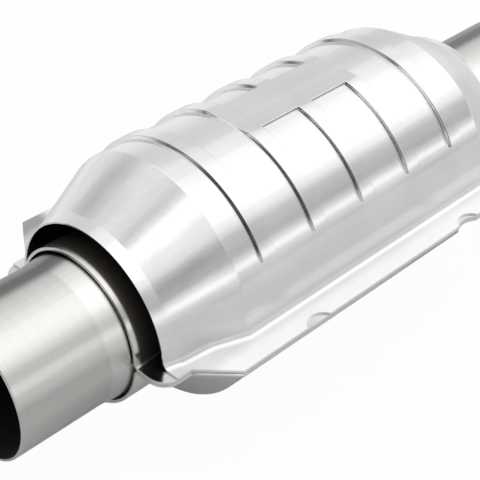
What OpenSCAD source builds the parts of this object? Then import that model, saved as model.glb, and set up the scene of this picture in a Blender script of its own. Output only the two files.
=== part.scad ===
// Catalytic converter: two pressed shell halves with side flanges, a pressed heat shield over the
// upper half, a pipe stub in each neck, and two ceramic monoliths in their mats inside.
// X runs with the gas, from the inlet mouth at the origin. Z is up, towards the heat shield.
// The two shell halves meet close to the plane of the pipe axis.

/* [Pipes] */
// Bore of both pipes, which takes a 2 1/4 inch exhaust pipe
pipe_bore_d = 57.2; // [50:0.1:62]
// Wall of both pipes
pipe_wall = 1.6; // [1.2:0.1:2]
// Length of pipe that stands out of each neck
pipe_reach = 50.8; // [30:0.1:120]
// Radial gap between a pipe and the neck round it
neck_gap = 2.1; // [1.6:0.1:3]
// Depth of the open gap in the neck, as far as the weld
gap_depth = 6; // [4:0.5:7]
// Length over which a pipe widens to its seat
flare_len = 18; // [12:0.5:24]
// Length of the weld behind the gap
weld_len = 3; // [2:0.5:4]
// Length of the widened end that seats in the neck
seat_len = 6; // [4:0.5:8]

/* [Shell] */
// Length of both shell halves, from lip to lip
shell_len = 228.6; // [215:0.1:280]
// Outer radius of the shell's half-round wall
shell_r = 50.2; // [47:0.1:56]
// Height of that wall's centre above the seam
shell_rise = 3; // [0:0.1:6]
// Sheet of the shell halves
shell_t = 1.3; // [1:0.1:1.6]
// Straight length of each neck
neck_len = 14.5; // [12:0.5:20]
// Slope of the end cones
cone_angle = 40; // [32:1:45]
// Bend between neck and cone
neck_bend_r = 20; // [10:1:26]
// Bend between cone and body
shoulder_r = 6; // [4:1:20]
// Bend between the body's wall and its flange
shell_fillet_r = 5; // [4.5:0.1:6]
// Bend between the neck's wall and its flange
neck_fillet_r = 1.6; // [1.2:0.1:2.5]

/* [Heat shield] */
// Sheet of the heat shield
shield_t = 0.8; // [0.6:0.1:1]
// Air gap between shield and shell at the sides
side_gap = 1.6; // [1.4:0.1:4]
// Air gap between shield and shell at the top
top_gap = 3.2; // [1.6:0.1:8]
// Distance from the shell's lip to the shield's mouth
mouth_setback = 6.9; // [4:0.1:10]
// Air gap between the neck and the shield's mouth
mouth_gap = 6.75; // [4:0.1:8]
// Length of the collar behind the mouth
collar_len = 5.1; // [3:0.1:8]
// How much the collar widens from the mouth to its back edge
collar_flare = 1.45; // [0.5:0.05:3]
// Length of the shield's cones, from collar to body
shield_cone_len = 27.9; // [22:0.1:31]
// Bend between the shield's wall and its flange
shield_fillet_r = 3.2; // [2.5:0.1:3.5]

/* [Ribs and pad] */
// Number of ribs pressed across the shield
rib_count = 5; // [3:2:5]
// Distance from one rib to the next
rib_pitch = 29; // [24:0.5:31]
// Width of a rib
rib_w = 8.5; // [6:0.1:11]
// Height of a rib
rib_h = 1.7; // [1.2:0.1:2.5]
// How far the front and back of a rib lean
rib_lean = 0.5; // [0.2:0.1:1]
// Angle from the top at which a rib ends
rib_reach = 63; // [50:1:68]
// Angle over which a rib's end slopes down
rib_ramp = 2; // [1:0.5:5]
// Width of the flat pad across the middle ribs
pad_w = 21.8; // [16:0.2:26]
// Height of the pad above the shield's crest
pad_h = 0.3; // [0.2:0.05:0.6]

/* [Flanges] */
// Width of the side flanges, out from the shield's wall
flange_w = 12.9; // [10:0.1:18]
// Width of the flanges beside the necks
ear_w = 15.4; // [12:0.1:20]
// Length of the ears beside the necks
ear_len = 14; // [11:0.1:18]
// Corner radius of the ears
ear_r = 8; // [4:0.5:10]
// Length over which a flange widens from ear to body
taper_len = 11; // [8:0.5:18]
// Height of the body's seam above the pipe axis
body_lift = 1.2; // [0:0.1:2]
// Depth of the seam beside the necks, below the pipe axis
ear_drop = 1.8; // [0:0.1:2.4]
// Distance of the notches from the middle
notch_x = 47.8; // [35:0.1:60]
// Width of the notches in the shield's flange, at its edge
notch_w = 12.8; // [12:0.1:18]
// Depth of those notches
notch_depth = 4.2; // [2:0.1:6]
// Distance from the middle to the smaller notch in the shell's flange, at the rear
seam_notch_x = 47.4; // [35:0.1:60]
// Width of the smaller notch
seam_notch_w = 12.4; // [8:0.1:18]
// Depth of the smaller notch
seam_notch_depth = 2.1; // [1.5:0.1:4]

/* [Catalyst] */
// Length of one monolith
brick_len = 55; // [40:0.5:56]
// Space between the two monoliths
brick_space = 10; // [6:0.5:12]
// Thickness of the mat round a monolith
mat_t = 4; // [3:0.1:6]
// Length of the wire seal at each end of a mat
seal_len = 5; // [3:0.1:8]
// How far a monolith stands out of its seals
brick_proud = 1; // [0:0.1:3]

/* [Hidden] */
$fn = 96;
// Clearance between round pieces that seat in one another
seat_clear = 0.15;
// Overlap of a cutter past the face it cuts
past = 1;
// Straight lines that draw half a turn of the walls, a flange's bend and a bend of the cones
wall_steps = 24;
bend_steps = 3;
cone_steps = 3;
// The same for the shield's arch: wall, rib end, rib, pad's edge, top, and back down the other side
shield_steps = [4, 1, 8, 1, 4, 1, 8, 1, 4];
// Stations closer than this are one
merge_d = 0.05;

pipe_in_r = pipe_bore_d / 2;
pipe_r = pipe_in_r + pipe_wall;
neck_in_r = pipe_r + neck_gap;
neck_r = neck_in_r + shell_t;
seat_r = neck_in_r - seat_clear;
half_shell = shell_len / 2;
overall_len = shell_len + 2 * pipe_reach;

// The end cone, from the neck's end to the body
cone_rise = shell_r - neck_r;
cone_slant = (cone_rise - (neck_bend_r + shoulder_r) * (1 - cos(cone_angle))) / sin(cone_angle);
cone_run = (neck_bend_r + shoulder_r) * sin(cone_angle) + cone_slant * cos(cone_angle);

shield_r = shell_r + side_gap + shield_t;
shield_rise = shell_rise + top_gap - side_gap;
mouth_r = neck_r + mouth_gap + shield_t;
shield_flange_z = shell_t + shield_t;

flange_half = shield_r + flange_w;
ear_half = neck_r + ear_w;

pad_z = shield_rise + shield_r + pad_h;
pad_half = pad_w / 2;
pad_len = 2 * rib_pitch + rib_w;

brick_x = (brick_space + brick_len) / 2;
cavity_r = shell_r - shell_t - seat_clear;
brick_r = cavity_r - mat_t;
mat_len = brick_len - 2 * (seal_len + brick_proud);

// A station of a lofted sheet is [x, radius of the arch, rise of its centre, radius of the bend into
// the flange, half-width of the flange, lift of the flange], and where ribs cross it also [share of
// a rib's height, 1 on the pad, shift of the underside along x]. Angles are measured from the top of
// the arch.
function rib_share(station) = len(station) > 6 ? station[6] : 0;
function on_pad(station) = len(station) > 6 && station[7] == 1;
function under_shift(station) = len(station) > 6 ? station[8] : 0;

// Degrees along the shield's arch that a length covers
function arch_degrees(length) = length / shield_r * 180 / PI;

// Angles at which the ribs end and the pad's edge stands, for the upper side or the underside
function relief_marks(deep) = [
    rib_reach - arch_degrees(deep), rib_reach - rib_ramp - arch_degrees(deep),
    asin(pad_half / shield_r) - arch_degrees(deep),
    asin((pad_half - rib_lean) / shield_r) - arch_degrees(deep)
];

// Radius of the sheet at an angle, with what is pressed into it
function relief_radius(station, deep, angle) =
    let (marks = relief_marks(deep))
    on_pad(station) && abs(angle) < (marks[2] + marks[3]) / 2
        ? (pad_z - deep - station[2]) / cos(angle)
        : station[1] - deep + (abs(angle) < (marks[0] + marks[1]) / 2 ? rib_h * rib_share(station) : 0);

// Angles from the first mark to the last one, each stretch in its own number of equal steps
function stepped(marks, steps) = [for (i = [0 : len(steps) - 1], j = [0 : steps[i] - 1])
    if (i + j > 0) marks[i] + (marks[i + 1] - marks[i]) * j / steps[i]];

// One side of a sheet's cross-section, from the right flange's edge over the arch to the left one.
// top is the flange's upper face without its lift, and deep is 0 for the upper side or the sheet for
// the lower one.
function sheet_side(station, top, deep, marks, steps) =
    let (
        level = top + station[5],
        centre_r = station[1] + station[3],
        centre_z = level + station[3],
        bend = station[3] + deep,
        start = asin(max(0, centre_z - station[2]) / centre_r),
        right_bend = [for (i = [0 : bend_steps]) let (a = 270 - (90 - start) * i / bend_steps)
            [centre_r * cos(start) + bend * cos(a), centre_z + bend * sin(a)]],
        half = concat([90 - start], marks),
        arch = [for (a = stepped(concat(half, -reversed(half)), steps))
            let (r = relief_radius(station, deep, a)) [r * sin(a), station[2] + r * cos(a)]],
        left_bend = [for (p = reversed(right_bend)) [-p[0], p[1]]],
        x = station[0] + (deep > 0 ? under_shift(station) : 0)
    )
    [for (p = concat([[station[4], level - deep]], right_bend, arch, left_bend,
        [[-station[4], level - deep]])) [x, p[0], p[1]]];

// A pressed sheet lofted through its stations
module pressed_sheet(stations, top, sheet, upper_marks, under_marks, steps) {
    rings = [for (s = stations) concat(sheet_side(s, top, 0, upper_marks, steps),
        reversed(sheet_side(s, top, sheet, under_marks, steps)))];
    ring = len(rings[0]);
    last = (len(stations) - 1) * ring;
    sides = [for (i = [0 : len(stations) - 2], j = [0 : ring - 1]) let (k = (j + 1) % ring)
        [(i + 1) * ring + j, (i + 1) * ring + k, i * ring + k, i * ring + j]];
    first_end = [for (j = [0 : ring / 2 - 2]) [j, j + 1, ring - 2 - j, ring - 1 - j]];
    last_end = [for (q = first_end) [for (i = reversed(q)) last + i]];
    polyhedron([for (r = rings) each r], concat(sides, first_end, last_end), convexity = 6);
}

function reversed(list) = [for (i = [len(list) - 1 : -1 : 0]) list[i]];

// Numbers in rising order, without those that lie closer together than a merge distance
function sorted(list) = len(list) < 2 ? list : concat(
    sorted([for (v = list) if (v < list[0] - merge_d) v]), [list[0]],
    sorted([for (v = list) if (v > list[0] + merge_d) v]));

function column(table, i) = [for (row = table) [row[0], row[i]]];

// Distances from the lip at which the edge of the flanges bends
function flange_bends() = concat([for (a = [30, 60, 90]) ear_r * (1 - cos(a))],
    [ear_len, ear_len + taper_len]);

// Half-width of the flanges at a distance from the lip
function flange_reach(d) = d < ear_r
    ? ear_half - ear_r + sqrt(ear_r * ear_r - (ear_r - d) * (ear_r - d))
    : lookup(d, [[ear_len, ear_half], [ear_len + taper_len, flange_half]]);

// Lift of the flanges at a distance from the lip
function flange_lift(d) = lookup(d, [[ear_len, -ear_drop], [ear_len + taper_len, body_lift]]);

// Stations of one end of a sheet, from rows of [distance from the lip, radius, rise, bend].
// up is 1 for a sheet above the seam and -1 for one that is mirrored below it.
function sheet_end(rows, side, up) =
    let (stops = concat([for (row = rows) row[0]], [for (d = flange_bends()) if (d > rows[0][0]) d]))
    [for (d = sorted(stops)) [side * (half_shell - d), lookup(d, column(rows, 1)),
        lookup(d, column(rows, 2)), lookup(d, column(rows, 3)), flange_reach(d), up * flange_lift(d)]];

function sheet_stations(rows, middle, up) =
    concat(sheet_end(rows, -1, up), middle, reversed(sheet_end(rows, 1, up)));

// The shell's radius from its lip to the start of the body: [distance from the lip, radius]
function shell_profile() = concat(
    [[0, neck_r], [neck_len, neck_r]],
    [for (i = [1 : cone_steps]) let (a = cone_angle * i / cone_steps)
        [neck_len + neck_bend_r * sin(a), neck_r + neck_bend_r * (1 - cos(a))]],
    [for (i = [cone_steps : -1 : 0]) let (a = cone_angle * i / cone_steps)
        [neck_len + cone_run - shoulder_r * sin(a), shell_r - shoulder_r * (1 - cos(a))]]
);

function shell_rows() = [for (p = shell_profile()) let (share = (p[1] - neck_r) / cone_rise)
    [p[0], p[1], shell_rise * share, neck_fillet_r + (shell_fillet_r - neck_fillet_r) * share]];

function shield_rows() = [
    [mouth_setback, mouth_r, 0, shield_fillet_r],
    [mouth_setback + collar_len, mouth_r + collar_flare, 0, shield_fillet_r],
    [mouth_setback + collar_len + shield_cone_len, shield_r, shield_rise, shield_fillet_r]
];

function rib_xs() = [for (i = [0 : rib_count - 1]) (i - (rib_count - 1) / 2) * rib_pitch];

// Stations at the foot and the top edge of both faces of each rib
function rib_stations() = [for (rib_x = rib_xs(), side = [-1, 1], foot = [side < 0 ? 1 : 0, side < 0 ? 0 : 1])
    let (x = rib_x + side * (rib_w / 2 - (1 - foot) * rib_lean))
    [x, shield_r, shield_rise, shield_fillet_r, flange_half, body_lift,
        1 - foot, abs(x) < (pad_len - rib_lean) / 2 ? 1 : 0, -side * shield_t]];

// Cutters for a scalloped notch in the edge of both flanges, through a sheet whose top is at z
module edge_notch(x, width, depth, z, sheet) {
    notch_r = (width * width / 4 + depth * depth) / (2 * depth);
    for (side = [-1, 1])
        translate([x, side * (flange_half - depth + notch_r), z - sheet - past])
            cylinder(r = notch_r, h = sheet + 2 * past);
}

// One pressed shell half, flange and necks included, drawn above the seam. up is 1 for the half that
// stays there and -1 for the one that is mirrored below it.
module shell_half(up) {
    difference() {
        pressed_sheet(sheet_stations(shell_rows(), [], up), shell_t, shell_t, [], [], [wall_steps]);
        edge_notch(seam_notch_x, seam_notch_w, seam_notch_depth, shell_t + up * body_lift, shell_t);
    }
}

module heat_shield() {
    color("gainsboro") translate([overall_len / 2, 0, 0]) difference() {
        pressed_sheet(sheet_stations(shield_rows(), rib_stations(), 1), shield_flange_z, shield_t,
            relief_marks(0), relief_marks(shield_t), shield_steps);
        for (side = [-1, 1])
            edge_notch(side * notch_x, notch_w, notch_depth, shield_flange_z + body_lift, shield_t);
    }
}

module upper_shell() {
    color("silver") translate([overall_len / 2, 0, 0]) shell_half(1);
}

module lower_shell() {
    color("darkgray") translate([overall_len / 2, 0, 0]) mirror([0, 0, 1]) shell_half(-1);
}

// Turned about the pipe axis from a profile of [distance from the inlet mouth, radius]
module turned(profile) {
    rotate([0, 90, 0]) rotate_extrude() polygon([for (p = profile) [p[1], p[0]]]);
}

// Where the pipe has widened to its seat, and where it begins to widen
seat_x = pipe_reach + gap_depth + weld_len;
flare_x = seat_x - flare_len;

module pipe_stub() {
    inner_x = seat_x + seat_len;
    turned([
        [0, pipe_in_r], [0, pipe_r], [flare_x, pipe_r], [seat_x, seat_r], [inner_x, seat_r],
        [inner_x, seat_r - pipe_wall], [seat_x, seat_r - pipe_wall], [flare_x, pipe_in_r]
    ]);
}

// Weld bead at the bottom of the gap between pipe and neck
module neck_weld() {
    toe = seat_x - weld_len - 1.5;
    turned([[toe, lookup(toe, [[flare_x, pipe_r], [seat_x, seat_r]])], [toe + 2, seat_r], [seat_x, seat_r]]);
}

module at_outlet() {
    translate([overall_len, 0, 0]) mirror([1, 0, 0]) children();
}

module inlet_pipe() { color("lightgray") pipe_stub(); }

module outlet_pipe() { color("lightgray") at_outlet() pipe_stub(); }

module inlet_weld() { color("dimgray") neck_weld(); }

module outlet_weld() { color("dimgray") at_outlet() neck_weld(); }

// The body's inner outline at a radius: two half circles, parted by twice the shell's rise
module body_outline(r) {
    for (side = [-1, 1]) translate([0, side * shell_rise]) circle(r = r);
    translate([-r, -shell_rise]) square([2 * r, 2 * shell_rise]);
}

// Stands an outline across the gas flow, centred at x from the middle
module across(x, length) {
    translate([overall_len / 2 + x - length / 2, 0, 0]) rotate([90, 0, 90])
        linear_extrude(length) children();
}

module monolith(x) {
    across(x, brick_len) body_outline(brick_r);
}

module wrap(x, length) {
    across(x, length) difference() {
        body_outline(cavity_r);
        body_outline(brick_r);
    }
}

// Distance of a seal's middle from its monolith's middle
seal_x = (mat_len + seal_len) / 2;

module front_monolith() { color("khaki") monolith(-brick_x); }

module rear_monolith() { color("khaki") monolith(brick_x); }

module front_mat() { color("tan") wrap(-brick_x, mat_len); }

module rear_mat() { color("tan") wrap(brick_x, mat_len); }

module front_mat_inlet_seal() { color("slategray") wrap(-brick_x - seal_x, seal_len); }

module front_mat_outlet_seal() { color("slategray") wrap(-brick_x + seal_x, seal_len); }

module rear_mat_inlet_seal() { color("slategray") wrap(brick_x - seal_x, seal_len); }

module rear_mat_outlet_seal() { color("slategray") wrap(brick_x + seal_x, seal_len); }

heat_shield();
upper_shell();
lower_shell();
inlet_pipe();
outlet_pipe();
inlet_weld();
outlet_weld();
front_monolith();
rear_monolith();
front_mat();
rear_mat();
front_mat_inlet_seal();
front_mat_outlet_seal();
rear_mat_inlet_seal();
rear_mat_outlet_seal();
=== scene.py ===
"""Catalytic converter in pressed stainless sheet, photographed on a white sweep.

X runs with the gas from the inlet mouth at the origin, Z is up towards the heat shield. Sizes are
in millimetres and are turned into metres where a piece is made.
"""

import logging
import math
from dataclasses import dataclass, field
from enum import Enum
from typing import Callable, Sequence

import bmesh
import bpy
from mathutils import Matrix, Vector


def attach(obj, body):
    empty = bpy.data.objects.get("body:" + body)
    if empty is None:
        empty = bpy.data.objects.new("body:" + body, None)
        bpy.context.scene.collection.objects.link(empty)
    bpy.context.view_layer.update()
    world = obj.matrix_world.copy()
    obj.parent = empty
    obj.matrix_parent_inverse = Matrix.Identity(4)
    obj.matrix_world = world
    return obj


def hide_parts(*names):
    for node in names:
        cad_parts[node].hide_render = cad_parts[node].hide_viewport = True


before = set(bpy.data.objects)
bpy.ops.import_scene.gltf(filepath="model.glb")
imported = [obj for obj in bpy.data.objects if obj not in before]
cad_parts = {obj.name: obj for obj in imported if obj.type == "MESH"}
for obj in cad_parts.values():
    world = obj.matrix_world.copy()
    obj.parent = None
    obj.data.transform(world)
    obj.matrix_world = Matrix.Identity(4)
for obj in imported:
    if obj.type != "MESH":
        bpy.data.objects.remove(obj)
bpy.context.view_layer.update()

Triple = tuple[float, float, float]
Pairs = tuple[tuple[float, float], ...]
Row = dict[int, tuple[float, float]]

MM = 0.001
BODY = "root"
OVERALL = 330.2
MIDDLE = OVERALL / 2
HALF_SHELL = 114.3
ALONG_X = (0, math.pi / 2, 0)

LOG = logging.getLogger("converter")


class Element(Enum):
    """What is selected in edit mode."""

    CORNER = "VERT"
    EDGE = "EDGE"
    FACE = "FACE"


class Side(Enum):
    """A side of the object across the gas flow."""

    RIGHT = -1
    LEFT = 1


class End(Enum):
    """An end of the object."""

    INLET = 1
    OUTLET = -1


@dataclass(frozen=True)
class Station:
    """A cross-section of a pressed sheet, in millimetres.

    x is measured from the middle of the converter. radius and rise give the arch and the height of
    its centre, bend the radius between wall and flange, reach and level the half-width and the
    height of the flanges.
    """

    x: float
    radius: float
    rise: float
    bend: float
    reach: float
    level: float

    def fold(self, steps: int) -> list[tuple[float, float]]:
        """Places of the bend between wall and flange.

        Args:
            steps: number of flats in the bend.

        Returns:
            [half-width, height] from the wall's foot to the flange.
        """
        centre_r = self.radius + self.bend
        centre_z = self.level + self.bend
        start = math.asin(max(0.0, centre_z - self.rise) / centre_r)
        turns = [math.pi + start + (math.pi / 2 - start) * i / steps for i in range(steps + 1)]
        return [(centre_r * math.cos(start) + self.bend * math.cos(turn),
                 centre_z + self.bend * math.sin(turn)) for turn in turns]


# Working on a mesh


def mm(*values: float) -> tuple[float, ...]:
    """Millimetres as metres."""
    return tuple(value * MM for value in values)


def only(piece: bpy.types.Object) -> None:
    """Makes a piece the one that is selected and active."""
    if bpy.context.object and bpy.context.object.mode != "OBJECT":
        bpy.ops.object.mode_set(mode="OBJECT")
    bpy.ops.object.select_all(action="DESELECT")
    piece.select_set(True)
    bpy.context.view_layer.objects.active = piece


class Bench:
    """Edit mode on one piece, with selection by place. Places are in metres."""

    def __init__(self, piece: bpy.types.Object) -> None:
        """Takes the piece that is worked on."""
        self.piece = piece

    def __enter__(self) -> "Bench":
        """Enters edit mode with nothing else selected."""
        only(self.piece)
        bpy.ops.object.mode_set(mode="EDIT")
        return self

    def __exit__(self, *problem: object) -> None:
        """Leaves edit mode."""
        bpy.ops.object.mode_set(mode="OBJECT")

    def all(self) -> None:
        """Selects the whole mesh."""
        bpy.ops.mesh.select_all(action="SELECT")

    def none(self, kind: Element) -> None:
        """Selects nothing, ready for elements of a kind."""
        bpy.ops.mesh.select_mode(type=kind.value)
        bpy.ops.mesh.select_all(action="DESELECT")

    def pick(self, kind: Element, test: Callable[[Vector], bool]) -> None:
        """Selects the elements whose corners all pass a test.

        Args:
            kind: corners, edges or faces.
            test: takes a place in the mesh.
        """
        self.none(kind)
        mesh = bmesh.from_edit_mesh(self.piece.data)
        if kind is Element.CORNER:
            chosen = [corner for corner in mesh.verts if test(corner.co)]
        else:
            source = mesh.edges if kind is Element.EDGE else mesh.faces
            chosen = [item for item in source if all(test(corner.co) for corner in item.verts)]
        for item in chosen:
            item.select_set(True)
        mesh.select_flush(True)
        bmesh.update_edit_mesh(self.piece.data)

    def scale(self, value: Sequence[float], centre: Sequence[float]) -> None:
        """Scales what is selected about a point."""
        bpy.ops.transform.resize(value=tuple(value), center_override=tuple(centre))

    def extrude(self, x: float = 0.0, z: float = 0.0) -> None:
        """Extrudes what is selected."""
        bpy.ops.mesh.extrude_region_move(TRANSFORM_OT_translate={"value": (x, 0, z)})

    def bevel(self, width: float, segments: int, corners: bool = False) -> None:
        """Rounds what is selected.

        Args:
            width: how far the rounding reaches.
            segments: number of flats in it.
            corners: True to round corners of the outline, False to round edges.
        """
        bpy.ops.mesh.bevel(offset=width, offset_type="OFFSET", segments=segments, profile=0.5,
                           affect="VERTICES" if corners else "EDGES", clamp_overlap=True)

    def outwards(self) -> None:
        """Turns all faces outwards, away from the axis."""
        self.all()
        bpy.ops.mesh.normals_make_consistent(inside=False)
        mesh = bmesh.from_edit_mesh(self.piece.data)
        facing = sum(
            face.calc_area() * face.normal.dot(Vector((0.0, centre.y, centre.z)))
            for face in mesh.faces
            for centre in (face.calc_center_median(),)
        )
        if facing < 0:
            bpy.ops.mesh.flip_normals()


def added(name: str, primitive: Callable[..., object], **settings: object) -> bpy.types.Object:
    """Adds a primitive, with its place in its mesh.

    Args:
        name: the name of the object and its mesh.
        primitive: the operator that adds it.
        settings: what the operator takes, in metres.

    Returns:
        The object.
    """
    bpy.ops.object.select_all(action="DESELECT")
    primitive(**settings)
    piece = bpy.context.object
    piece.name = piece.data.name = name
    only(piece)
    bpy.ops.object.transform_apply(location=True, rotation=True, scale=True)
    return piece


def modified(piece: bpy.types.Object, kind: str, **settings: object) -> None:
    """Adds a modifier to a piece, sets it and applies it."""
    only(piece)
    modifier = piece.modifiers.new(kind.title(), kind)
    for key, value in settings.items():
        setattr(modifier, key, value)
    bpy.ops.object.modifier_apply(modifier=modifier.name)


def mirrored(piece: bpy.types.Object, value: Sequence[float], centre: Sequence[float]) -> None:
    """Turns a piece over by scaling one axis by -1, its faces still outwards."""
    with Bench(piece) as bench:
        bench.all()
        bench.scale(value, centre)
        bpy.ops.mesh.flip_normals()


def smoothed(piece: bpy.types.Object, angle: float = 40.0) -> None:
    """Shades a piece smooth up to an angle in degrees, large faces keeping their own normals."""
    only(piece)
    bpy.ops.object.shade_smooth_by_angle(angle=math.radians(angle))
    modified(piece, "WEIGHTED_NORMAL", mode="FACE_AREA_WITH_ANGLE", keep_sharp=True)


def near(value: float, target: float, slack: float = 0.02) -> bool:
    """Whether a place in metres lies at a place in millimetres, within a slack in millimetres."""
    return abs(value - target * MM) < slack * MM


def row_key(x: float) -> int:
    """A place along X in metres, as hundredths of a millimetre."""
    return round(x / MM * 100)


def at_row(at: Vector, row: Row) -> bool:
    """Whether a place lies in a row: half-width and height in millimetres for places along X."""
    place = row.get(row_key(at.x))
    return place is not None and near(abs(at.y), place[0]) and near(at.z, place[1])


def handed_in(piece: bpy.types.Object, slot: str, *nodes: str) -> None:
    """Lets a piece ride on the body and stand for its CAD nodes."""
    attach(piece, BODY)
    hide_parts(*nodes)
    LOG.info("%s: %d faces for %s", piece.name, len(piece.data.polygons), ", ".join(nodes))


# Finishes


class Nodes:
    """A node tree that is built by name."""

    def __init__(self, tree: bpy.types.NodeTree) -> None:
        """Empties the tree."""
        self.tree = tree
        tree.nodes.clear()

    def add(self, kind: str, **settings: object) -> bpy.types.Node:
        """Adds a node and sets its properties."""
        node = self.tree.nodes.new(f"ShaderNode{kind}")
        for key, value in settings.items():
            setattr(node, key, value)
        return node

    def put(self, target: object, value: object) -> None:
        """Links an output to an input, or sets the input to a number or an opaque colour."""
        if isinstance(value, bpy.types.NodeSocket):
            self.tree.links.new(value, target)
        elif target.type == "RGBA":
            target.default_value = (*value, 1)
        else:
            target.default_value = value

    def feed(self, node: bpy.types.Node, **inputs: object) -> object:
        """Feeds a node.

        Args:
            node: the node.
            inputs: values or outputs by input, with base_color for Base Color.

        Returns:
            The node's first output.
        """
        for key, value in inputs.items():
            self.put(node.inputs[key.replace("_", " ").title()], value)
        return node.outputs[0]

    def close(self, source: object, kind: str = "Material") -> None:
        """Ends the tree with its output node."""
        self.put(self.add(f"Output{kind}").inputs[0], source)

    def maths(self, operation: str, *values: object) -> object:
        """A Math node on numbers or outputs."""
        node = self.add("Math", operation=operation)
        for target, value in zip(node.inputs, values):
            self.put(target, value)
        return node.outputs[0]

    def times(self, first: object, second: object) -> object:
        """The product of two."""
        return self.maths("MULTIPLY", first, second)

    def plus(self, first: object, second: object) -> object:
        """The sum of two."""
        return self.maths("ADD", first, second)

    def minus(self, first: object, second: object) -> object:
        """The first less the second."""
        return self.maths("SUBTRACT", first, second)

    def blend(self, first: object, second: object, share: float) -> object:
        """The mean of two, in which the first has a share."""
        return self.plus(self.times(first, share), self.times(second, 1 - share))

    def spread(self, value: object, low: float, high: float, to_low: float = 0.0,
               to_high: float = 1.0) -> object:
        """A Map Range node, smooth and clamped."""
        node = self.add("MapRange", interpolation_type="SMOOTHSTEP", clamp=True)
        return self.feed(node, value=value, from_min=low, from_max=high, to_min=to_low,
                         to_max=to_high)

    def mixed(self, share: object, first: object, second: object, how: str = "MIX") -> object:
        """A Mix node on colours."""
        node = self.add("Mix", data_type="RGBA", blend_type=how)
        colours = [socket for socket in node.inputs if socket.type == "RGBA"]
        for target, value in zip((node.inputs["Factor"], *colours), (share, first, second)):
            self.put(target, value)
        return next(socket for socket in node.outputs if socket.type == "RGBA")

    def merged(self, share: object, first: object, second: object) -> object:
        """A Mix Shader node."""
        node = self.add("MixShader")
        for target, value in zip(node.inputs, (share, first, second)):
            self.put(target, value)
        return node.outputs[0]

    def place(self, scale: Sequence[float] = (1, 1, 1), shift: Sequence[float] = (0, 0, 0),
              turn: float = 0.0) -> object:
        """Object coordinates, scaled, turned about Z and moved."""
        return self.feed(self.add("Mapping"), vector=self.add("TexCoord").outputs["Object"],
                         location=shift, rotation=(0, 0, turn), scale=scale)

    def axes(self, scale: float = 1.0) -> list[object]:
        """X, Y and Z of the object coordinates, scaled."""
        node = self.add("SeparateXYZ")
        self.feed(node, vector=self.place((scale,) * 3))
        return list(node.outputs)

    def noise(self, scale: float, detail: float, rough: float,
              stretch: Sequence[float] = (1, 1, 1), shift: Sequence[float] = (0, 0, 0)) -> object:
        """Noise over the object coordinates."""
        node = self.add("TexNoise")
        self.feed(node, vector=self.place(stretch, shift), scale=scale, detail=detail,
                  roughness=rough)
        return node.outputs["Fac"]

    def ramp(self, value: object, stops: Sequence[tuple[float, Sequence[float]]]) -> object:
        """A Color Ramp through (position, colour) stops."""
        node = self.add("ValToRGB")
        node.color_ramp.interpolation = "EASE"
        elements = node.color_ramp.elements
        while len(elements) < len(stops):
            elements.new(0.5)
        for element, (position, colour) in zip(elements, stops):
            element.position = position
            element.color = (*colour, 1.0)
        self.put(node.inputs[0], value)
        return node.outputs[0]

    def bump(self, height: object, strength: float, distance: float) -> object:
        """A Bump node."""
        return self.feed(self.add("Bump"), strength=strength, distance=distance, height=height)

    def seen(self, *rays: str) -> object:
        """One where a ray of these kinds arrives, and zero elsewhere."""
        path = self.add("LightPath")
        share = path.outputs[f"Is {rays[0]} Ray"]
        for ray in rays[1:]:
            share = self.maths("MAXIMUM", share, path.outputs[f"Is {ray} Ray"])
        return share


def blank(name: str) -> tuple[bpy.types.Material, Nodes]:
    """A new material and its empty node tree."""
    material = bpy.data.materials.new(name)
    material.use_nodes = True
    return material, Nodes(material.node_tree)


@dataclass(frozen=True)
class Finish:
    """A surface finish. Every kind gives its own layers."""

    name: str

    def layers(self, nodes: Nodes) -> dict[str, object]:
        """What the Principled shader's inputs take, by name."""
        raise NotImplementedError

    def make(self) -> bpy.types.Material:
        """The finished material."""
        material, nodes = blank(self.name)
        nodes.close(nodes.feed(nodes.add("BsdfPrincipled"), **self.layers(nodes)))
        return material


@dataclass(frozen=True)
class BrushedSteel(Finish):
    """Bright stainless sheet with rolling streaks along X and faint cloudy handling marks."""

    colour: Triple = (0.86, 0.865, 0.87)
    roughness: float = 0.12
    streaks: float = 0.04
    clouds: float = 0.03
    grain: float = 0.06
    grain_depth: float = 0.04
    fine_streaks: Triple = (14, 900, 900)
    broad_streaks: Triple = (6, 160, 160)
    cloud_scale: float = 28.0

    def tone_and_painted_shade(self, nodes: Nodes, colour: object, rough: object) -> dict[str, object]:
        """Colour and roughness, on which other steels paint shade first."""
        return {"base_color": colour, "roughness": rough}

    def layers(self, nodes: Nodes) -> dict[str, object]:
        """Steel whose colour and roughness vary along fine streaks."""
        fine = nodes.noise(1.0, 2.0, 0.6, self.fine_streaks)
        broad = nodes.noise(1.0, 2.0, 0.5, self.broad_streaks)
        cloud = nodes.noise(self.cloud_scale, 3.0, 0.5, shift=(3, 1, 2))
        streak = nodes.blend(fine, broad, 0.35)
        dark = tuple(tone * (1 - 2 * self.streaks) for tone in self.colour)
        tone = nodes.mixed(nodes.spread(streak, 0.3, 0.7), dark, self.colour)
        haze = nodes.mixed(nodes.spread(cloud, 0.35, 0.65), (1 - 2 * self.clouds,) * 3, (1, 1, 1))
        rough = nodes.spread(nodes.blend(streak, cloud, 0.5), 0.3, 0.7, self.roughness * 0.8,
                             self.roughness * 1.25)
        made = self.tone_and_painted_shade(nodes, nodes.mixed(1.0, tone, haze, "MULTIPLY"), rough)
        relief = nodes.bump(fine, self.grain, self.grain_depth * MM)
        return {"metallic": 1.0, "normal": relief, **made}


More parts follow.
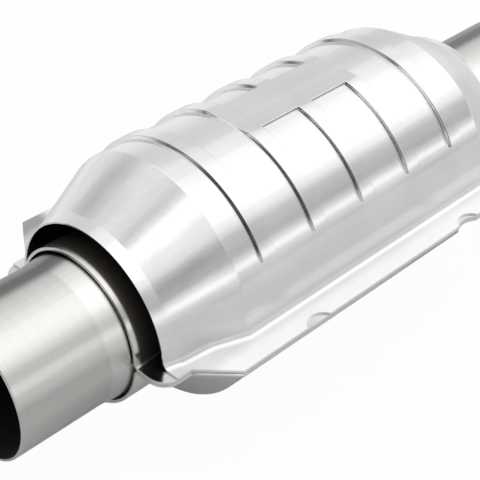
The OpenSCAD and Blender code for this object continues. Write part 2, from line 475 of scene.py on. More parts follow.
@dataclass(frozen=True)
class FlangedSteel(BrushedSteel):
    """Bright sheet with flanges paler and more matt than the arch, and painted shade on the inlet's
    left ear.
    """

    flange: Triple = (0.98, 0.98, 0.98)
    # Colour of the painted shade on the inlet's left ear.
    painted_shade_ear: Triple = (0.42, 0.42, 0.42)
    flange_roughness: float = 0.42
    foot_roughness: float = 0.32
    flange_from: float = 54.0
    flange_to: float = 61.0
    flange_below: float = 8.0
    foot_below: float = 26.0
    ear_until: float = 82.0
    ear_fade: float = 8.0

    def tone_and_painted_shade(self, nodes: Nodes, colour: object, rough: object) -> dict[str, object]:
        """Pales the flanges and paints shade on the inlet's left ear."""
        x, y, z = nodes.axes()
        outside = nodes.spread(nodes.maths("ABSOLUTE", y), *mm(self.flange_from, self.flange_to))
        low = nodes.spread(z, *mm(self.flange_below, self.flange_below + 2), 1, 0)
        share = nodes.times(outside, low)
        ear = nodes.spread(x, *mm(self.ear_until, self.ear_until + self.ear_fade), 1, 0)
        # Painted shade on the inlet's left ear, fading out along X.
        ear_shade_share = nodes.times(nodes.spread(y, 0, MM), ear)
        flange = nodes.mixed(ear_shade_share, self.flange, self.painted_shade_ear)
        foot = nodes.spread(z, *mm(self.flange_below, self.foot_below),
                            self.foot_roughness - self.roughness, 0)
        matt = nodes.times(share, self.flange_roughness - self.roughness)
        return super().tone_and_painted_shade(nodes, nodes.mixed(share, colour, flange),
                               nodes.plus(rough, nodes.maths("MAXIMUM", foot, matt)))


@dataclass(frozen=True)
class ShieldShadedSteel(BrushedSteel):
    """Stainless sheet with the shield's shade painted dark above the seam, between a bright lip and
    the body.
    """

    # Colour of the painted shade under the shield.
    stain: Triple = (0.085, 0.076, 0.068)
    shade_roughness: float = 0.32
    shade_metallic: float = 0.75
    bright_lip: float = 2.2
    shaded_length: float = 60.0
    shade_fade: float = 15.0
    seam: float = -0.5
    neck_half: float = 39.0

    def tone_and_painted_shade(self, nodes: Nodes, colour: object, rough: object) -> dict[str, object]:
        """Paints the shield's shade dark on the steel behind the lips."""
        x, y, z = nodes.axes()
        off = nodes.maths("ABSOLUTE", nodes.minus(x, MIDDLE * MM))
        from_lip = nodes.minus(HALF_SHELL * MM, off)
        behind = nodes.spread(from_lip, *mm(self.bright_lip - 0.5, self.bright_lip + 0.7))
        before = nodes.spread(
            from_lip, *mm(self.shaded_length, self.shaded_length + self.shade_fade), 1, 0)
        above = nodes.spread(z, *mm(self.seam, self.seam + 1.5))
        within = nodes.spread(nodes.maths("ABSOLUTE", y),
                              *mm(self.neck_half, self.neck_half + 2), 1, 0)
        # Where the painted shade lies: under the shield, behind the lip, above the seam.
        share = nodes.times(nodes.times(behind, before), nodes.times(above, within))
        mixed_rough = nodes.plus(nodes.times(rough, nodes.minus(1.0, share)),
                                 nodes.times(share, self.shade_roughness))
        return {"metallic": nodes.spread(share, 0, 1, 1, self.shade_metallic),
                **super().tone_and_painted_shade(nodes, nodes.mixed(share, colour, self.stain), mixed_rough)}


@dataclass(frozen=True)
class PipeSteel(Finish):
    """Satin tube with turned marks round it, drawn, with painted reflections and shade in long
    bands round it and black painted shade inside.

    bands lists the painted reflections and shade round the tube, as [degrees from the top to the
    right, tone].
    """

    colour: Triple = (0.9, 0.885, 0.865)
    bands: Pairs = (
        (-180, 0.55), (-75, 0.4), (-60, 0.24), (-42, 0.27), (-24, 0.2), (-18, 0.14), (-11, 0.22),
        (0, 0.85), (14, 0.86), (34, 0.92), (48, 1.0), (60, 0.95), (68, 0.88), (76, 0.68),
        (90, 0.74), (180, 0.6))
    # Black painted into the bore for its shade.
    bore_shade: Triple = (0.002, 0.002, 0.002)
    roughness: float = 0.27
    wall_radius: float = 29.3
    flare_from: float = 41.8
    # Level of the painted shade on the straight tube.
    painted_tube_shade: float = 0.9
    drawn_streaks: Triple = (10, 500, 500)
    turned_marks: Triple = (700, 6, 6)

    def layers(self, nodes: Nodes) -> dict[str, object]:
        """Steel outside the bore, black painted shade within it."""
        x, across, up = nodes.axes()
        radius = nodes.maths("SQRT", nodes.plus(nodes.times(across, across), nodes.times(up, up)))
        outside = nodes.spread(radius, *mm(self.wall_radius - 0.3, self.wall_radius))
        angle = nodes.maths("ARCTAN2", nodes.times(across, -1.0), up)
        turn = nodes.plus(nodes.maths("DIVIDE", angle, 2 * math.pi), 0.5)
        # Painted reflections and shade: the tone round the tube follows bands.
        painted_reflections = nodes.ramp(turn, [(place / 360 + 0.5, (tone,) * 3) for place, tone in self.bands])
        streak = nodes.noise(1.0, 2.0, 0.6, self.drawn_streaks)
        ring = nodes.noise(1.0, 2.0, 0.6, self.turned_marks)
        shade = nodes.spread(nodes.blend(streak, ring, 0.6), 0.3, 0.7, 0.93, 1.0)
        steel = nodes.mixed(1.0, self.colour, painted_reflections, "MULTIPLY")
        steel = nodes.mixed(1.0, steel, shade, "MULTIPLY")
        # Painted light: the straight tube is shaded darker than the flared end.
        from_end = nodes.maths("MINIMUM", x, nodes.minus(OVERALL * MM, x))
        bright = nodes.spread(from_end, *mm(self.flare_from - 0.6, self.flare_from + 0.6),
                              self.painted_tube_shade, 1)
        steel = nodes.mixed(nodes.minus(1.0, bright), steel, (0, 0, 0))
        return {"base_color": nodes.mixed(outside, self.bore_shade, steel), "metallic": outside,
                "roughness": nodes.spread(outside, 0, 1, 1.0, self.roughness),
                "normal": nodes.bump(ring, 0.06, 0.05 * MM)}


@dataclass(frozen=True)
class DullMetal(Finish):
    """Dark, unlit or heat-stained metal, such as the inside of the sheets, where the shield's
    inside is painted shade, and the welds.
    """

    colour: Triple = (0.012, 0.011, 0.011)
    spot: Triple = (0.03, 0.027, 0.024)
    metallic: float = 0.5
    roughness: float = 0.7
    grain: float = 300.0

    def layers(self, nodes: Nodes) -> dict[str, object]:
        """Mottled metal."""
        speck = nodes.noise(self.grain, 4.0, 0.6)
        rough = nodes.spread(speck, 0.3, 0.7, self.roughness * 0.85,
                             min(1.0, self.roughness * 1.15))
        return {"base_color": nodes.mixed(nodes.spread(speck, 0.35, 0.65), self.colour, self.spot),
                "metallic": self.metallic, "roughness": rough,
                "normal": nodes.bump(speck, 0.3, 0.1 * MM)}


@dataclass(frozen=True)
class Ceramic(Finish):
    """Washcoated cordierite, matt and sandy."""

    light: Triple = (0.36, 0.31, 0.235)
    dark: Triple = (0.235, 0.2, 0.15)
    grain: float = 420.0
    stain: float = 30.0

    def layers(self, nodes: Nodes) -> dict[str, object]:
        """Matt ceramic with a fine grain."""
        grain = nodes.noise(self.grain, 5.0, 0.65)
        stain = nodes.noise(self.stain, 2.0, 0.5)
        tone = nodes.spread(nodes.blend(grain, stain, 0.5), 0.35, 0.65)
        return {"base_color": nodes.mixed(tone, self.dark, self.light), "roughness": 0.92,
                "normal": nodes.bump(grain, 0.35, 0.2 * MM)}


@dataclass(frozen=True)
class FibreMat(Finish):
    """Intumescent fibre mat with flakes of vermiculite."""

    fibre: Triple = (0.56, 0.5, 0.4)
    flake: Triple = (0.32, 0.24, 0.12)
    flake_scale: float = 450.0
    felt_scale: float = 900.0

    def layers(self, nodes: Nodes) -> dict[str, object]:
        """Felt with scattered flakes."""
        cells = nodes.add("TexVoronoi")
        nodes.feed(cells, vector=nodes.place(), scale=self.flake_scale)
        flakes = nodes.spread(cells.outputs["Distance"], 0.12, 0.3, 1, 0)
        felt = nodes.noise(self.felt_scale, 4.0, 0.7, (1, 1, 2.5))
        return {"base_color": nodes.mixed(flakes, self.fibre, self.flake), "roughness": 0.95,
                "normal": nodes.bump(felt, 0.6, 0.4 * MM)}


@dataclass(frozen=True)
class KnittedWire(Finish):
    """Knitted stainless wire rope of the end seals."""

    wire: Triple = (0.55, 0.545, 0.53)
    gap: Triple = (0.05, 0.048, 0.045)
    slant: float = 0.8
    wire_scale: float = 320.0

    def layers(self, nodes: Nodes) -> dict[str, object]:
        """Crossed wires with dark gaps."""
        heights = []
        for turn in (self.slant, -self.slant):
            wave = nodes.add("TexWave", bands_direction="X")
            nodes.feed(wave, vector=nodes.place(turn=turn), scale=self.wire_scale, distortion=1.5)
            heights.append(wave.outputs["Fac"])
        wires = nodes.maths("MAXIMUM", *heights)
        return {"base_color": nodes.mixed(nodes.spread(wires, 0.35, 0.8), self.gap, self.wire),
                "metallic": 1.0, "roughness": nodes.spread(wires, 0, 1, 0.6, 0.35),
                "normal": nodes.bump(wires, 0.8, 0.3 * MM)}


SHIELD_FINISH = FlangedSteel("brushed_shield")
SHELL_FINISH = BrushedSteel("brushed_shell", colour=(0.76, 0.755, 0.745), roughness=0.18)
# The upper shell, with the shield's shade painted on it.
SHIELD_SHADED_FINISH = ShieldShadedSteel("shield_shaded_shell", colour=(0.76, 0.755, 0.745), roughness=0.18)
# The shield's inside, painted black for the shade under it.
PAINTED_SHADE_INSIDE = DullMetal("painted_shade_inside", colour=(0.004, 0.004, 0.004), spot=(0.01, 0.009, 0.009),
                      metallic=0.0, roughness=0.9)
NECK_INSIDE = DullMetal("neck_inside", colour=(0.07, 0.06, 0.05), spot=(0.14, 0.125, 0.11),
                        metallic=0.9, roughness=0.45, grain=120.0)
WELD_FINISH = DullMetal("bead_metal", colour=(0.10, 0.09, 0.08), spot=(0.2, 0.18, 0.16),
                        metallic=1.0, roughness=0.4, grain=240.0)
PIPE_FINISH = PipeSteel("drawn_tube")
CERAMIC_FINISH = Ceramic("washcoated_cordierite")
MAT_FINISH = FibreMat("vermiculite_felt")
SEAL_FINISH = KnittedWire("crossed_wires")


def dressed(piece: bpy.types.Object, *finishes: Finish) -> None:
    """Gives a piece its materials, one slot for each finish."""
    piece.data.materials.clear()
    for finish in finishes:
        piece.data.materials.append(bpy.data.materials.get(finish.name) or finish.make())


# Pressed sheets


@dataclass
class FlangeOutline:
    """The outline that all three sheets share: ears beside the necks, wider along the body."""

    ear_half: float = 49.0
    ear_length: float = 14.0
    taper_length: float = 11.0
    body_half: float = 65.5
    corner_radius: float = 8.0
    ear_drop: float = 1.8
    body_lift: float = 1.2

    def share(self, from_lip: float) -> float:
        """How much of the way from ear to body a flange has gone, at a distance from the lip."""
        return min(1.0, max(0.0, (from_lip - self.ear_length) / self.taper_length))

    def reach(self, from_lip: float) -> float:
        """Half-width of the flanges at a distance from the lip, corners left sharp."""
        return self.ear_half + (self.body_half - self.ear_half) * self.share(from_lip)

    def lift(self, from_lip: float) -> float:
        """Height of the seam above the pipe axis at a distance from the lip."""
        return (self.body_lift + self.ear_drop) * self.share(from_lip) - self.ear_drop

    def bends(self) -> list[float]:
        """Distances from the lip at which the flange's edge bends."""
        return [self.ear_length, self.ear_length + self.taper_length]


@dataclass
class PressedSheet:
    """A sheet pressed into a half-round arch with a flange along each side.

    profile lists [distance from the shell's lip, radius of the arch, rise of its centre, bend into
    the flange] from one end to the start of the straight body. flange_top is the height of the
    flange's upper face over the seam, and up is 1 over the seam and -1 for the half below it.
    notches lists [place from the middle, width, depth] of the notches in both flanges.
    """

    name: str
    slot: str
    profile: list[tuple[float, ...]]
    flange_top: float
    sheet: float
    notches: tuple[tuple[float, float, float], ...]
    up: int = 1
    arch_corners: int = 120
    arch_reach: float = 81.0
    fold_steps: int = 5
    corner_steps: int = 6
    least_gap: float = 0.05
    rim: float = 0.22
    rim_angle: float = 55.0
    outline: FlangeOutline = field(default_factory=FlangeOutline)

    def middle_xs(self) -> list[float]:
        """Places of the extra stations on the straight body, from the middle."""
        return []

    def interpolated(self, from_lip: float) -> tuple[float, ...]:
        """Radius, rise and bend at a distance from the lip, on the line between two rows."""
        rows = self.profile
        if from_lip >= rows[-1][0]:
            return rows[-1][1:]
        after = next(i for i, row in enumerate(rows) if row[0] > from_lip - 1e-9)
        if after == 0:
            return rows[0][1:]
        a, b = rows[after - 1], rows[after]
        share = (from_lip - a[0]) / (b[0] - a[0])
        return tuple(start + (end - start) * share for start, end in zip(a[1:], b[1:]))

    def stations(self) -> list[Station]:
        """All cross-sections from the inlet end to the outlet end."""
        stops = [row[0] for row in self.profile]
        stops += [bend for bend in self.outline.bends() if bend > stops[0]]
        stops = sorted(stop for i, stop in enumerate(stops)
                       if all(abs(stop - other) > self.least_gap for other in stops[:i]))
        xs = [stop - HALF_SHELL for stop in stops] + self.middle_xs()
        xs += [HALF_SHELL - stop for stop in stops[::-1]]
        made = []
        for x in xs:
            from_lip = HALF_SHELL - abs(x)
            level = self.flange_top + self.up * self.outline.lift(from_lip)
            reach = self.outline.reach(from_lip)
            made.append(Station(x, *self.interpolated(from_lip), reach, level))
        return made

    def arch(self, bench: Bench, stations: Sequence[Station]) -> None:
        """Draws the arch from station to station."""
        first = stations[0]
        foot = math.cos(math.radians(self.arch_reach))
        bench.pick(Element.CORNER, lambda at: at.z < (first.rise + foot * first.radius - 0.01) * MM)
        bpy.ops.mesh.delete(type="VERT")
        bench.all()
        for last, new in zip(stations, stations[1:]):
            bench.extrude(x=(new.x - last.x) * MM, z=(new.rise - last.rise) * MM)
            grow = new.radius / last.radius
            bench.scale((1, grow, grow), mm(new.x + MIDDLE, 0, new.rise))

    def foot(self, station: Station) -> tuple[float, float]:
        """Half-width and height at which the arch ends."""
        turn = math.radians(self.arch_reach)
        return station.radius * math.sin(turn), station.rise + station.radius * math.cos(turn)

    def next_row(self, bench: Bench, side: Side, last: Row, new: Row) -> None:
        """Extrudes a row of edges that runs along the sheet, and puts it in its place.

        Args:
            bench: the sheet that is worked on.
            side: the side of the sheet.
            last: half-width and height of the row, for each station's place along X.
            new: the same for the row that is drawn out of it.
        """
        step = 1.0
        bench.pick(Element.EDGE, lambda at: at.y * side.value > 0 and at_row(at, last))
        bench.extrude(z=-step * MM)
        for key, (half, height) in new.items():
            moved = {key: (last[key][0], last[key][1] - step)}
            bench.pick(Element.CORNER, lambda at: at.y * side.value > 0 and at_row(at, moved))
            bench.scale((1, 0, 0), (0, side.value * half * MM, height * MM))

    def flanges(self, bench: Bench, stations: Sequence[Station]) -> None:
        """Draws the walls' feet, the folds and both flanges, and rounds the flanges' corners."""
        keys = [row_key((station.x + MIDDLE) * MM) for station in stations]
        folds = [station.fold(self.fold_steps) for station in stations]
        rows = [dict(zip(keys, (self.foot(station) for station in stations)))]
        rows += [dict(zip(keys, places)) for places in zip(*folds)]
        rows.append({key: (s.reach, s.level) for key, s in zip(keys, stations)})
        for side in Side:
            for last, new in zip(rows, rows[1:]):
                self.next_row(bench, side, last, new)
        bench.outwards()
        self.round_corners(bench, stations[0])

    def round_corners(self, bench: Bench, end: Station) -> None:
        """Rounds the outer corners of the ears, where the sheet reaches the shell's lips."""
        if near((HALF_SHELL - abs(end.x)) * MM, 0):
            bench.pick(Element.CORNER, lambda at: near(abs(at.x - MIDDLE * MM), abs(end.x))
                       and near(abs(at.y), end.reach))
            bench.bevel(self.outline.corner_radius * MM, self.corner_steps, corners=True)

    def pressings(self, bench: Bench) -> None:
        """Presses further forms into the sheet."""

    def notched(self, piece: bpy.types.Object) -> None:
        """Cuts the notches into both flanges."""
        level = self.flange_top + self.up * self.outline.body_lift
        for x, width, depth in self.notches:
            radius = (width ** 2 / 4 + depth ** 2) / (2 * depth)
            for side in Side:
                y = side.value * (self.outline.body_half - depth + radius)
                cutter = added("notch_cutter", bpy.ops.mesh.primitive_cylinder_add, vertices=96,
                               radius=radius * MM, depth=6 * MM, location=mm(MIDDLE + x, y, level))
                modified(piece, "BOOLEAN", operation="DIFFERENCE", solver="EXACT", object=cutter)
                bpy.data.objects.remove(cutter, do_unlink=True)

    def build(self) -> bpy.types.Object:
        """Makes the sheet, flange upwards.

        Returns:
            The piece, without its materials.
        """
        stations = self.stations()
        first = stations[0]
        piece = added(self.name, bpy.ops.mesh.primitive_circle_add, vertices=self.arch_corners,
                      radius=first.radius * MM, location=mm(first.x + MIDDLE, 0, first.rise),
                      rotation=ALONG_X)
        with Bench(piece) as bench:
            self.arch(bench, stations)
            self.flanges(bench, stations)
            self.pressings(bench)
        return piece

    def finished(self, piece: bpy.types.Object) -> None:
        """Wall, notches, rounded rims and smooth shading.

        The wall grows inwards, and its inner side takes the second material.
        """
        modified(piece, "SOLIDIFY", thickness=self.sheet * MM, offset=-1.0, use_even_offset=True,
                 use_quality_normals=True, material_offset=1)
        self.notched(piece)
        modified(piece, "BEVEL", width=self.rim * MM, segments=2, limit_method="ANGLE",
                 angle_limit=math.radians(self.rim_angle), use_clamp_overlap=True, material=0)
        smoothed(piece)
        if self.up < 0:
            mirrored(piece, (1, 1, -1), (0, 0, 0))


@dataclass
class HeatShield(PressedSheet):
    """The shield over the upper half: collar, cones, five ribs and a flat pad."""

    rib_xs: tuple[float, ...] = (-58.0, -29.0, 0.0, 29.0, 58.0)
    rib_width: float = 8.5
    rib_height: float = 1.7
    rib_lean: float = 0.5
    rib_reach: float = 63.0
    pad_half: float = 10.9
    pad_length: float = 66.5
    pad_top: float = 57.5
    slack: float = 0.05
    crease_angle: float = 30.0
    crease: float = 0.35

    def middle_xs(self) -> list[float]:
        """Both feet of each rib."""
        return [x + side * self.rib_width / 2 for x in self.rib_xs for side in (-1, 1)]

    def crown(self) -> tuple[float, float]:
        """Radius and rise of the arch along the straight body."""
        return self.profile[-1][1], self.profile[-1][2]

    def polar(self, at: Vector) -> tuple[float, float]:
        """Degrees from the top of the arch, and distance from its centre in millimetres."""
        _, rise = self.crown()
        y, z = at.y / MM, at.z / MM - rise
        return math.degrees(math.atan2(abs(y), z)), math.hypot(y, z)

    def on_rib(self, at: Vector) -> bool:
        """Whether a place lies on a rib."""
        angle, _ = self.polar(at)
        x = at.x / MM - MIDDLE
        return angle < self.rib_reach + 0.5 and any(
            abs(x - rib) < self.rib_width / 2 + self.slack for rib in self.rib_xs)

    def on_pad(self, at: Vector) -> bool:
        """Whether a place lies on the pad."""
        return (abs(at.x / MM - MIDDLE) < self.pad_length / 2 + self.slack
                and abs(at.y / MM) < self.pad_half + 0.1 and at.z > 50 * MM)

    def pressings(self, bench: Bench) -> None:
        """Raises the ribs and the pad in one pressing, flattens the pad and eases all edges."""
        radius, _ = self.crown()
        bench.none(Element.FACE)
        mesh = bmesh.from_edit_mesh(bench.piece.data)
        for face in mesh.faces:
            centre = face.calc_center_median()
            face.select_set(self.on_rib(centre) or self.on_pad(centre))
        bmesh.update_edit_mesh(bench.piece.data)
        bpy.ops.mesh.extrude_region_shrink_fatten(
            TRANSFORM_OT_shrink_fatten={"value": self.rib_height * MM})
        high = radius + self.rib_height / 2
        for rib in self.rib_xs:
            x = MIDDLE + rib
            bench.pick(Element.CORNER, lambda at: self.polar(at)[1] > high
                       and abs(at.x / MM - x) < self.rib_width / 2 + self.slack)
            bench.scale((1 - 2 * self.rib_lean / self.rib_width, 1, 1), mm(x, 0, 0))
        bench.pick(Element.CORNER, lambda at: self.on_pad(at) and self.polar(at)[1] > high)
        bench.scale((1, 1, 0), mm(0, 0, self.pad_top))
        bench.none(Element.EDGE)
        bpy.ops.mesh.edges_select_sharp(sharpness=math.radians(self.crease_angle))
        bench.bevel(self.crease * MM, 2)


@dataclass
class Housing:
    """The heat shield and the two shell halves.

    shield_rows lists [distance from the shell's lip, radius, rise] of the shield's mouth, the end
    of its collar, the start of its body and a place on the body.
    """

    shell_radius: float = 50.2
    shell_rise: float = 3.0
    shell_sheet: float = 1.3
    neck_radius: float = 33.6
    neck_length: float = 14.5
    cone_angle: float = 40.0
    neck_bend: float = 20.0
    shoulder: float = 6.0
    bend_steps: int = 6
    neck_fold: float = 1.6
    body_fold: float = 5.0
    shell_notches: tuple[Triple, ...] = ((47.4, 12.4, 2.1),)
    shield_sheet: float = 0.8
    shield_fold: float = 3.2
    shield_notches: tuple[Triple, ...] = ((-47.8, 12.8, 4.2), (47.8, 12.8, 4.2))
    shield_rows: tuple[Triple, ...] = (
        (6.9, 41.15, 0.0), (12.0, 42.6, 0.0), (39.9, 52.6, 4.6), (80.0, 52.6, 4.6))
    ease: float = 0.5

    def shield_profile(self) -> list[tuple[float, ...]]:
        """Rows of the shield from its mouth to the body, with its two creases eased."""
        given = self.shield_rows
        rows = [given[0]]
        for before, crease, after in zip(given, given[1:], given[2:]):
            for end in (before, after):
                share = self.ease / abs(end[0] - crease[0])
                rows.append(tuple(a + (b - a) * share for a, b in zip(crease, end)))
        return [(*row, self.shield_fold) for row in rows]

    def shell_profile(self) -> list[tuple[float, ...]]:
        """Rows of the shell from its lip to the body."""
        rise = self.shell_radius - self.neck_radius
        angle = math.radians(self.cone_angle)
        bends = self.neck_bend + self.shoulder
        slant = (rise - bends * (1 - math.cos(angle))) / math.sin(angle)
        run = bends * math.sin(angle) + slant * math.cos(angle)
        turns = [angle * i / self.bend_steps for i in range(self.bend_steps + 1)]
        rows = [(0.0, self.neck_radius)]
        rows += [(self.neck_length + self.neck_bend * math.sin(turn),
                  self.neck_radius + self.neck_bend * (1 - math.cos(turn))) for turn in turns]
        rows += [(self.neck_length + run - self.shoulder * math.sin(turn),
                  self.shell_radius - self.shoulder * (1 - math.cos(turn)))
                 for turn in reversed(turns)]
        shares = [(radius - self.neck_radius) / rise for _, radius in rows]
        return [(*row, self.shell_rise * share,
                 self.neck_fold + (self.body_fold - self.neck_fold) * share)
                for row, share in zip(rows, shares)]

    def build(self) -> None:
        """Makes and hands in the three sheets."""
        shield = HeatShield("heat_shield_pressing", "shield_steel", self.shield_profile(),
                            self.shell_sheet + self.shield_sheet, self.shield_sheet,
                            self.shield_notches)
        upper, lower = (
            PressedSheet(f"{node}_pressing", "shell_steel", self.shell_profile(),
                         self.shell_sheet, self.shell_sheet, self.shell_notches, up)
            for node, up in (("upper_shell", 1), ("lower_shell", -1)))
        for sheet, outer, inner in ((shield, SHIELD_FINISH, PAINTED_SHADE_INSIDE),
                                    (upper, SHIELD_SHADED_FINISH, NECK_INSIDE),
                                    (lower, SHELL_FINISH, NECK_INSIDE)):
            piece = sheet.build()
            sheet.finished(piece)
            dressed(piece, outer, inner)
            handed_in(piece, sheet.slot, sheet.name.removesuffix("_pressing"))


# Pipes and welds


@dataclass
class PipeStub:
    """A pipe stub, widened where it seats in the neck. profile lists [x, radius] round its wall."""

    corners: int = 128
    profile: Pairs = (
        (0.0, 28.6), (0.0, 30.2), (41.4, 30.2), (42.2, 30.24), (59.4, 32.11), (60.2, 32.15),
        (65.8, 32.15), (65.8, 30.55), (59.8, 30.55), (41.8, 28.6))
    rim: float = 0.35

    def turned(self, name: str) -> bpy.types.Object:
        """The stub at the inlet, drawn ring by ring and closed on itself."""
        x, radius = self.profile[0]
        piece = added(name, bpy.ops.mesh.primitive_circle_add, vertices=self.corners,
                      radius=radius * MM, location=mm(x, 0, 0), rotation=ALONG_X)
        with Bench(piece) as bench:
            bench.all()
            for (x, radius), (new_x, new_radius) in zip(self.profile, self.profile[1:]):
                bench.extrude(x=(new_x - x) * MM)
                bench.scale((1, new_radius / radius, new_radius / radius), mm(new_x, 0, 0))
            ends = (self.profile[0], self.profile[-1])
            bench.pick(Element.EDGE, lambda at: any(
                near(at.x, x) and near(math.hypot(at.y, at.z), radius) for x, radius in ends))
            mesh = bmesh.from_edit_mesh(piece.data)
            for edge in mesh.edges:
                if edge.select and not near(edge.verts[0].co.x, edge.verts[1].co.x / MM):
                    edge.select_set(False)
            bmesh.update_edit_mesh(piece.data)
            bpy.ops.mesh.bridge_edge_loops()
            bench.all()
            bpy.ops.mesh.normals_make_consistent(inside=False)
            bench.pick(Element.EDGE, lambda at: near(at.x, 0.0))
            bench.bevel(self.rim * MM, 3)
        return piece

    def build(self, end: End) -> None:
        """Makes and hands in one stub."""
        name = end.name.lower()
        piece = self.turned(f"{name}_pipe_stub")
        if end is End.OUTLET:
            mirrored(piece, (-1, 1, 1), mm(MIDDLE, 0, 0))
        smoothed(piece)
        dressed(piece, PIPE_FINISH)
        handed_in(piece, "pipe_steel", f"{name}_pipe")


@dataclass
class NeckWeld:
    """The weld bead between pipe and neck, with the ripples of its passes."""

    x: float = 56.6
    radius: float = 32.0
    bead: float = 0.5
    ripples: int = 60
    ripple_height: float = 0.08
    smooth_angle: float = 70.0

    def build(self, end: End) -> None:
        """Makes and hands in one bead."""
        name = end.name.lower()
        x = self.x if end is End.INLET else OVERALL - self.x
        piece = added(f"{name}_weld_bead", bpy.ops.mesh.primitive_torus_add, location=mm(x, 0, 0),
                      rotation=ALONG_X, major_radius=self.radius * MM, minor_radius=self.bead * MM,
                      major_segments=self.ripples * 3, minor_segments=14)
        step = 2 * math.pi / self.ripples
        with Bench(piece) as bench:
            bench.pick(Element.CORNER, lambda at: abs(
                (math.atan2(at.y, at.z) / step + 0.5) % 1.0 - 0.5) < 0.1)
            bpy.ops.transform.shrink_fatten(value=self.ripple_height * MM)
        smoothed(piece, self.smooth_angle)
        dressed(piece, WELD_FINISH)
        handed_in(piece, "weld", f"{name}_weld")


# Catalyst


@dataclass
class Monolith:
    """A ceramic monolith with square cells in both end faces."""

    node: str
    centre: float
    length: float = 55.0
    radius: float = 44.75
    rise: float = 3.0
    skin: float = 1.2
    pitch: float = 1.8
    web: float = 0.13
    depth: float = 5.0
    backing: float = 0.5

    def block(self) -> bpy.types.Object:
        """The block between its end faces, which are sunk behind the skin."""
        piece = added(f"{self.node}_cells", bpy.ops.mesh.primitive_cylinder_add, vertices=96,
                      radius=self.radius * MM, depth=self.length * MM,
                      location=mm(self.centre, 0, 0), rotation=ALONG_X)
        with Bench(piece) as bench:
            for side in (-1, 1):
                bench.pick(Element.CORNER, lambda at: at.z * side > 1e-5)
                bpy.ops.transform.translate(value=mm(0, 0, side * self.rise))
            for side in (-1, 1):
                face_x = self.centre + side * self.length / 2
                bench.pick(Element.FACE, lambda at: near(at.x, face_x))
                bpy.ops.mesh.inset(thickness=self.skin * MM, use_even_offset=True)
                bench.extrude(x=-side * (self.depth + self.backing) * MM)
        return piece

    def inside(self, at: Vector) -> bool:
        """Whether a place lies within the skin's inner edge."""
        z = max(0.0, abs(at.z / MM) - self.rise)
        return math.hypot(at.y / MM, z) < self.radius - self.skin

    def cells(self, side: int) -> bpy.types.Object:
        """The cells of one end face."""
        count = 2 * math.ceil((self.radius + self.rise) / self.pitch)
        x = self.centre + side * self.length / 2
        piece = added(f"{self.node}_end", bpy.ops.mesh.primitive_grid_add, x_subdivisions=count,
                      y_subdivisions=count, size=count * self.pitch * MM, location=mm(x, 0, 0),
                      rotation=(0, side * math.pi / 2, 0))
        with Bench(piece) as bench:
            bench.pick(Element.CORNER, lambda at: not self.inside(at))
            bpy.ops.mesh.delete(type="VERT")
            bench.pick(Element.FACE, lambda at: True)
            bpy.ops.mesh.inset(thickness=self.web * MM, use_individual=True)
            bench.extrude(x=-side * self.depth * MM)
            bench.none(Element.EDGE)
            bpy.ops.mesh.select_non_manifold(
                extend=False, use_boundary=True, use_wire=False, use_multi_face=False,
                use_non_contiguous=False, use_verts=False)
            bench.extrude(x=-side * self.depth * MM)
        return piece

    def build(self) -> None:
        """Makes and hands in the monolith."""
        piece = self.block()
        for side in (-1, 1):
            only(self.cells(side))
            piece.select_set(True)
            bpy.context.view_layer.objects.active = piece
            bpy.ops.object.join()
        dressed(piece, CERAMIC_FINISH)
        handed_in(piece, "monolith", self.node)


@dataclass
class Packing:
    """The mats and wire seals round the monoliths, which stay as the CAD made them."""

    mats: tuple[str, ...] = ("front_mat", "rear_mat")
    seals: tuple[str, ...] = ("front_mat_inlet_seal", "front_mat_outlet_seal",
                              "rear_mat_inlet_seal", "rear_mat_outlet_seal")

    def build(self) -> None:
        """Dresses the CAD nodes."""
        for names, finish in ((self.mats, MAT_FINISH), (self.seals, SEAL_FINISH)):
            for name in names:
                dressed(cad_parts[name], finish)
                LOG.info("%s: CAD node in %s", name, finish.name)


# Studio


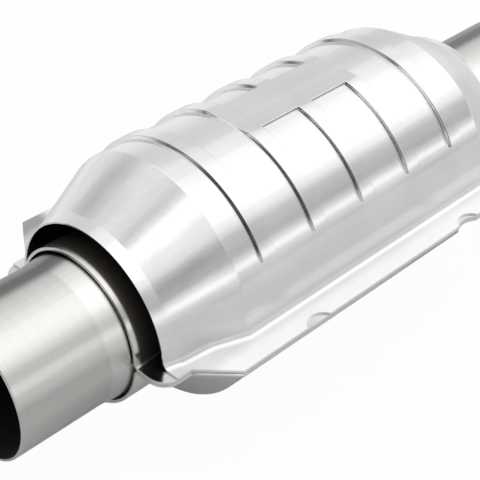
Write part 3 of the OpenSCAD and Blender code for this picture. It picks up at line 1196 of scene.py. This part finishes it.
@dataclass(frozen=True)
class Studio:
    """White sweep, light tent and camera.

    tent and front_tent list the light round the X axis behind the split and before it, as
    [degrees from +Y over the top, level]. The split is a curve across the tent, and the tent is
    dark where dark_x, dark_z and dark_y meet. These are shares of its radius.
    """

    camera_place: Triple = (-0.19839, -0.32482, 0.34105)
    azimuth: float = -46.2106
    elevation: float = 36.3689
    roll: float = 1.1248
    lens: float = 102.51
    sensor: float = 36.0
    world_grey: float = 0.8
    floor_x: float = 0.165
    floor_z: float = -0.0533
    floor_size: float = 6.0
    floor_grey: float = 0.72
    floor_white: float = 0.97
    floor_gloss: tuple[float, float] = (0.1, 0.8)
    gloss_y: tuple[float, float] = (0.1, 0.5)
    floor_dark: float = 0.05
    floor_dark_x: tuple[float, float] = (-0.9, -0.5)
    tent_radius: float = 4.5
    tent: Pairs = (
        (0, 0.92), (11, 0.88), (21, 0.79), (35, 0.76), (48, 0.8), (58, 1.0), (71, 1.08), (83, 1.25),
        (95, 1.4), (119, 1.4), (130, 1.1), (142, 0.62), (155, 0.54), (161, 0.8), (167, 1.25),
        (173, 0.8), (180, 0.62), (203, 0.6), (215, 0.85), (235, 0.7), (287, 0.8), (311, 0.92),
        (335, 0.96), (360, 0.92))
    front_tent: Pairs = (
        (0, 0.9), (12, 0.76), (21, 0.66), (30, 0.58), (38, 0.68), (51, 0.86), (63, 0.94),
        (74, 0.88), (84, 0.74), (90, 0.9), (96, 1.3), (108, 1.35), (119, 1.08), (131, 0.92),
        (139, 0.55), (144, 0.44), (155, 0.52), (161, 0.9), (167, 1.35), (173, 0.8), (180, 0.62),
        (203, 0.75), (235, 0.8), (335, 0.95), (360, 0.9))
    front_tint: Triple = (1.01, 1.0, 0.985)
    split_x: float = -0.165
    split_curve: float = 0.27
    split_soft: float = 0.025
    dark_x: tuple[float, float] = (-0.6, -0.3)
    dark_z: tuple[float, float] = (0.6, 0.75)
    dark_y: tuple[float, float] = (0.2, 0.55)
    dark_left: float = 0.45
    dark_level: float = 0.1

    def camera(self) -> None:
        """Places the camera as the photograph was taken."""
        data = bpy.data.cameras.new("camera")
        data.lens = self.lens
        data.sensor_width = self.sensor
        data.clip_start, data.clip_end = 0.01, 50.0
        camera = bpy.data.objects.new("camera", data)
        bpy.context.scene.collection.objects.link(camera)
        turn = (Matrix.Rotation(math.radians(self.azimuth), 4, "Z")
                @ Matrix.Rotation(math.radians(90 - self.elevation), 4, "X")
                @ Matrix.Rotation(math.radians(self.roll), 4, "Z"))
        camera.matrix_world = Matrix.Translation(self.camera_place) @ turn
        bpy.context.scene.camera = camera

    def backdrop(self) -> None:
        """Makes the world white for the camera, for gloss and for glass."""
        world = bpy.data.worlds.new("backdrop")
        bpy.context.scene.world = world
        world.use_nodes = True
        nodes = Nodes(world.node_tree)
        plain, white = (nodes.feed(nodes.add("Background"), color=(grey,) * 3)
                        for grey in (self.world_grey, 1))
        nodes.close(nodes.merged(nodes.seen("Camera", "Glossy", "Transmission"), plain, white),
                    "World")

    def light_tent(self) -> None:
        """Stands a glowing tent round the scene, in soft bands about X and dark low down at -X."""
        tent = added("light_tent", bpy.ops.mesh.primitive_uv_sphere_add, segments=48,
                     ring_count=24, radius=self.tent_radius)
        with Bench(tent) as bench:
            bench.all()
            bpy.ops.mesh.flip_normals()
        tent.visible_camera = False
        material, nodes = blank("light_tent")
        x, y, z = nodes.axes(1 / self.tent_radius)
        angle = nodes.maths("ARCTAN2", z, y)
        turn = nodes.maths("FRACT", nodes.maths("DIVIDE", angle, 2 * math.pi))
        behind, before = (
            nodes.ramp(turn, [(place / 360, tuple(level / 2 * part for part in tint))
                              for place, level in bands])
            for bands, tint in ((self.tent, (1, 1, 1)), (self.front_tent, self.front_tint)))
        left = nodes.maths("MAXIMUM", y, 0.0)
        split = nodes.plus(nodes.times(nodes.times(left, left), self.split_curve), self.split_x)
        past = nodes.spread(nodes.minus(x, split), -self.split_soft, self.split_soft)
        dark = nodes.times(nodes.times(nodes.spread(x, *self.dark_x, 1, 0),
                                       nodes.spread(z, *self.dark_z, 1, 0)),
                           nodes.spread(y, *self.dark_y, 1, self.dark_left))
        nodes.close(nodes.feed(nodes.add("Emission"), color=nodes.mixed(past, before, behind),
                               strength=nodes.spread(dark, 0, 1, 2, 2 * self.dark_level)))
        material.cycles.emission_sampling = "NONE"
        tent.data.materials.append(material)

    def floor(self) -> None:
        """Lays the pale floor, which keeps a faint shadow before the camera."""
        plane = added("floor", bpy.ops.mesh.primitive_plane_add, size=self.floor_size,
                      location=(self.floor_x, 0, self.floor_z))
        material, nodes = blank("floor")
        matt, black = (nodes.feed(nodes.add("BsdfDiffuse"), color=(grey,) * 3)
                       for grey in (self.floor_grey, self.floor_dark))
        white = nodes.feed(nodes.add("Emission"), color=(1, 1, 1))
        plainly = nodes.times(nodes.seen("Camera", "Transmission"), self.floor_white)
        x, y, _ = nodes.axes()
        gloss = nodes.spread(y, *self.gloss_y, *self.floor_gloss)
        glossy = nodes.times(nodes.seen("Glossy"), gloss)
        pale = nodes.merged(nodes.maths("MAXIMUM", plainly, glossy), matt, white)
        away = nodes.times(nodes.spread(x, *self.floor_dark_x, 1, 0), nodes.seen("Glossy"))
        nodes.close(nodes.merged(away, pale, black))
        plane.data.materials.append(material)

    def build(self) -> None:
        """Sets up the whole studio."""
        bpy.context.scene.view_settings.view_transform = "Standard"
        self.camera()
        self.backdrop()
        self.light_tent()
        self.floor()


def main() -> None:
    """Builds the converter and its studio."""
    logging.basicConfig(level=logging.INFO, format="%(name)s: %(message)s")
    Studio().build()
    Housing().build()
    for end in End:
        PipeStub().build(end)
        NeckWeld().build(end)
    Monolith("front_monolith", 132.6).build()
    Monolith("rear_monolith", 197.6).build()
    Packing().build()


if __name__ == "__main__":
    main()
